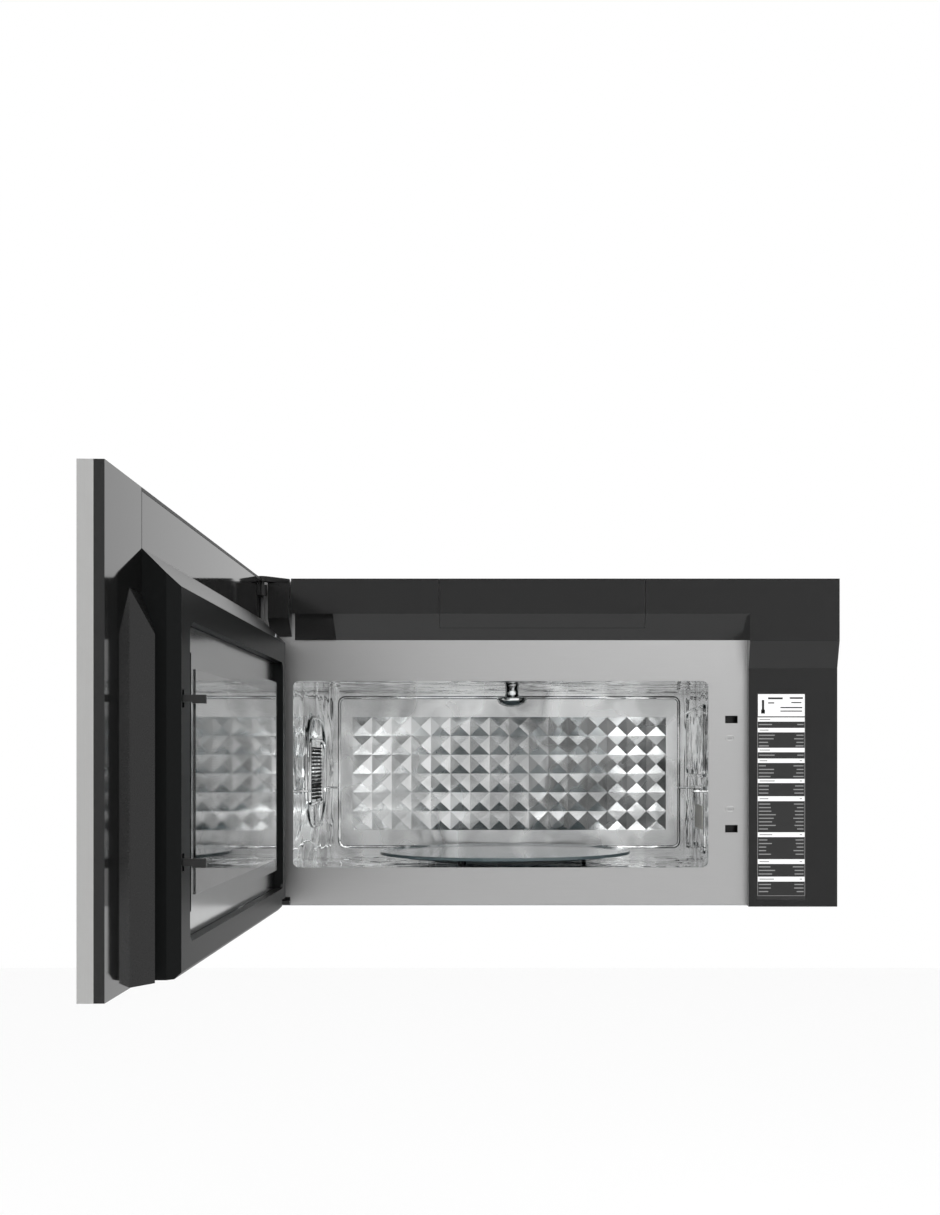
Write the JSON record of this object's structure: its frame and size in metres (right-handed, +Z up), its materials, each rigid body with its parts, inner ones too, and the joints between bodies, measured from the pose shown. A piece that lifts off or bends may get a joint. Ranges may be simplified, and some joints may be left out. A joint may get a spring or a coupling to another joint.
{
  "type": "over the range microwave",
  "caption": "Over-the-range microwave with a left-hinged full-width door swung open, a pyramid-patterned steel cavity, glass turntable and built-in exhaust blower.",
  "frame": {"origin": "on the wall plane, at the middle of the back of the cabinet's width and height", "axes": "+Z up, front faces -Y, +Y towards the wall, +X to the right seen from the front"},
  "size_m": [0.7628, 1.1603, 0.438],
  "materials": {
    "stainless_front": "brushed",
    "stainless_cavity": "bright pressed",
    "choke_steel": "satin",
    "galvanised_sheet": "zinc-coated",
    "painted_case": "black powder paint",
    "black_plastic": "glossy black",
    "inner_plastic": "fine satin grain",
    "internal_plastic": "as moulded",
    "door_glass": "black-printed",
    "clear_glass": "clear",
    "tray_glass": "moulded",
    "mica": "mica sheet",
    "label_print": "printed film",
    "motor_steel": "plated",
    "rotor_metal": "plated",
    "circuit": "circuit board",
    "charcoal": "granulated",
    "filter_mesh": "expanded mesh"
  },
  "bodies": {
    "cabinet": {"wall_plate": "galvanised_sheet", "back_panel": "galvanised_sheet", "outer_case": "painted_case", "base_pan": "galvanised_sheet", "front_frame": "stainless_front", "upper_panel": "black_plastic", "side_panel": "black_plastic", "guide_label": "label_print", "cavity_liner": "stainless_cavity", "cavity_back": "stainless_cavity", "waveguide": "galvanised_sheet", "waveguide_cover": "mica", "rack_supports": "stainless_cavity", "ceiling_hub": "stainless_cavity", "magnetron": "motor_steel", "transformer": "motor_steel", "hv_capacitor": "motor_steel", "fan_shroud": "galvanised_sheet", "fan_motor": "motor_steel", "power_board": "circuit", "cavity_lamp": "motor_steel", "latch_board": "internal_plastic", "interlock_switches": "circuit", "hinge_brackets": "painted_case", "hinge_cover": "inner_plastic", "turntable_motor": "motor_steel", "blower_housing": "internal_plastic", "blower_motor": "motor_steel", "exhaust_adapter": "galvanised_sheet", "filter_holder": "galvanised_sheet", "charcoal_filter": "charcoal", "grease_filters": "filter_mesh", "lamp_lenses": "clear_glass", "cooktop_lamps": "motor_steel", "cord_gland": "internal_plastic", "case_screws": "galvanised_sheet"},
    "door": {"door_skin": "stainless_front", "door_glass": "door_glass", "door_frame": "black_plastic", "hinge_eyes": "painted_case", "touch_board": "circuit", "inner_cover": "inner_plastic", "choke_frame": "choke_steel", "window_screen": "painted_case", "inner_glass": "clear_glass", "grip_rib": "inner_plastic", "latch_spring": "motor_steel"},
    "latch": {"latch_bar": "internal_plastic"},
    "access_cover": {"filter_cover": "black_plastic"},
    "fan": {"cooling_fan": "internal_plastic"},
    "lever_upper": {"interlock_lever_upper": "internal_plastic"},
    "lever_lower": {"interlock_lever_lower": "internal_plastic"},
    "turntable": {"glass_tray": "tray_glass", "drive_coupler": "internal_plastic"},
    "roller_ring": {"roller_ring": "internal_plastic"},
    "roller_1": {"roller_1": "internal_plastic"},
    "roller_2": {"roller_2": "internal_plastic"},
    "roller_3": {"roller_3": "internal_plastic"},
    "blower": {"blower_rotor": "rotor_metal"},
    "damper": {"damper_flap": "painted_case"}
  },
  "joints": [
    {"name": "door_swing", "type": "hinge", "parent": "cabinet", "child": "door", "pos_m": [-0.3603, -0.4202, 0], "axis": [0, 0, -1], "range_deg": [-88, 4]},
    {"name": "latch_slide", "type": "slide", "parent": "door", "child": "latch", "axis": [0, 0, 1], "range_m": [0, 0.0015], "stiffness_N_per_m": 300, "springref_m": -0.004, "deforming": ["latch_spring"]},
    {"name": "cover_tilt", "type": "hinge", "parent": "cabinet", "child": "access_cover", "pos_m": [0, -0.4025, 0.149], "axis": [1, 0, 0], "range_deg": [0, 80]},
    {"name": "fan_spin", "type": "hinge", "parent": "cabinet", "child": "fan", "pos_m": [0.29705, -0.2, -0.046], "axis": [0, 1, 0], "continuous": true},
    {"name": "lever_upper_rock", "type": "hinge", "parent": "cabinet", "child": "lever_upper", "pos_m": [0.2445, -0.3681, 0.0433], "axis": [1, 0, 0], "range_deg": [0, 6], "stiffness_Nm_per_rad": 0.02},
    {"name": "lever_lower_rock", "type": "hinge", "parent": "cabinet", "child": "lever_lower", "pos_m": [0.2445, -0.3681, -0.099], "axis": [1, 0, 0], "range_deg": [0, 6], "stiffness_Nm_per_rad": 0.02},
    {"name": "turntable_spin", "type": "hinge", "parent": "cabinet", "child": "turntable", "pos_m": [-0.0559, -0.202, -0.161], "axis": [0, 0, 1], "continuous": true},
    {"name": "ring_spin", "type": "hinge", "parent": "cabinet", "child": "roller_ring", "pos_m": [-0.0559, -0.202, -0.161], "axis": [0, 0, 1], "continuous": true},
    {"name": "roller_1_spin", "type": "hinge", "parent": "roller_ring", "child": "roller_1", "pos_m": [0.0561, -0.202, -0.1617], "axis": [1, 0, 0], "continuous": true},
    {"name": "roller_2_spin", "type": "hinge", "parent": "roller_ring", "child": "roller_2", "pos_m": [-0.1119, -0.10501, -0.1617], "axis": [-0.5, 0.866, 0], "continuous": true},
    {"name": "roller_3_spin", "type": "hinge", "parent": "roller_ring", "child": "roller_3", "pos_m": [-0.1119, -0.299, -0.1617], "axis": [-0.5, -0.866, 0], "continuous": true},
    {"name": "blower_spin", "type": "hinge", "parent": "cabinet", "child": "blower", "pos_m": [0, -0.096, 0.141], "axis": [1, 0, 0], "continuous": true},
    {"name": "damper_swing", "type": "hinge", "parent": "cabinet", "child": "damper", "pos_m": [0, -0.0238, 0.219], "axis": [-1, 0, 0], "range_deg": [0, 75]}
  ],
  "couplings": [
    {"joint": "ring_spin", "follows": "turntable_spin", "ratio": 0.5},
    {"joint": "roller_1_spin", "follows": "turntable_spin", "ratio": -11.2},
    {"joint": "roller_2_spin", "follows": "turntable_spin", "ratio": -11.2},
    {"joint": "roller_3_spin", "follows": "turntable_spin", "ratio": -11.2}
  ]
}
